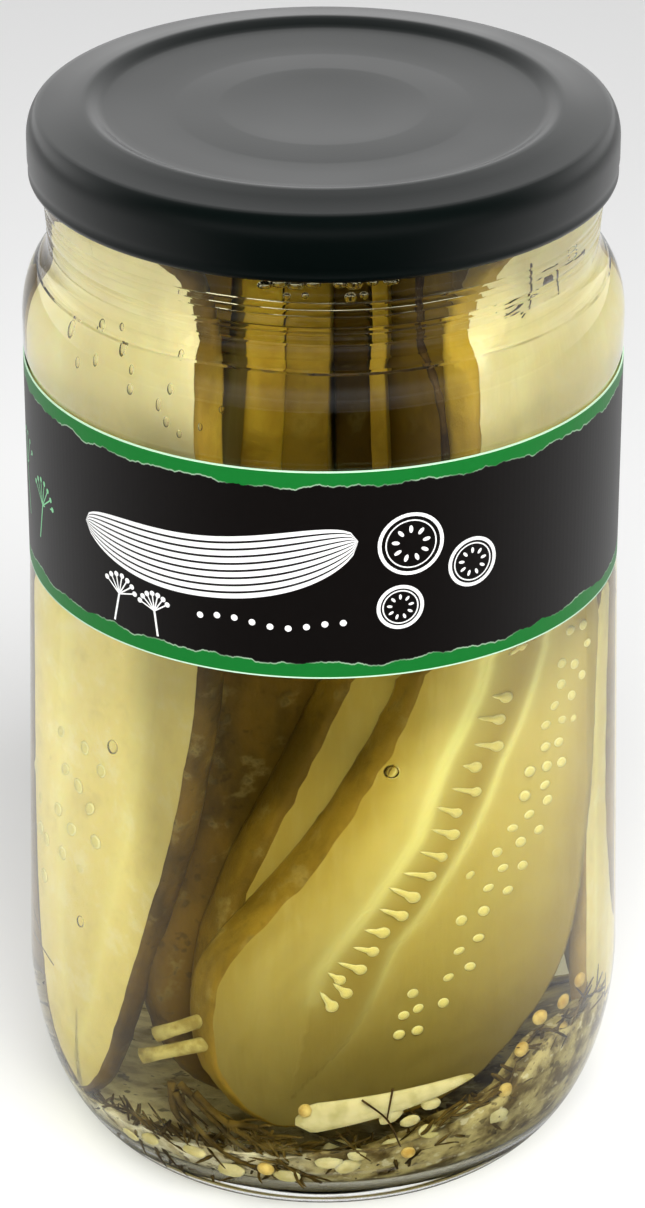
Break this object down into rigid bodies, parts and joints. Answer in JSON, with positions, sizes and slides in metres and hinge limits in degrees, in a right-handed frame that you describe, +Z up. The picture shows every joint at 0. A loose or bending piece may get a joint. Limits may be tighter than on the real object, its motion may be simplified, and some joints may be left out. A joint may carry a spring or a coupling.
{
  "type": "pickle jar",
  "caption": "Shut round glass jar with a black twist-off lid and a paper band, packed with long cut pickles, dill, garlic and mustard seeds in brine.",
  "frame": {"origin": "centre of the jar's base, on the surface that it stands on", "axes": "+Z up along the jar's axis, -Y towards the front of the band"},
  "size_m": [0.0922, 0.0922, 0.1678],
  "materials": {
    "clear_glass": "clear polished flint glass",
    "lid_lacquer": "black satin lacquer on tinplate",
    "label_paper": "coated paper, near black with green edges",
    "pickle": "wet pickled cucumber flesh with olive skin",
    "spices": "dill, garlic and mustard seeds"
  },
  "bodies": {
    "root": {"glass_jar": "clear_glass", "lid": "lid_lacquer", "label": "label_paper", "pickle_slices": "pickle", "spice_bed": "spices"}
  },
  "joints": []
}
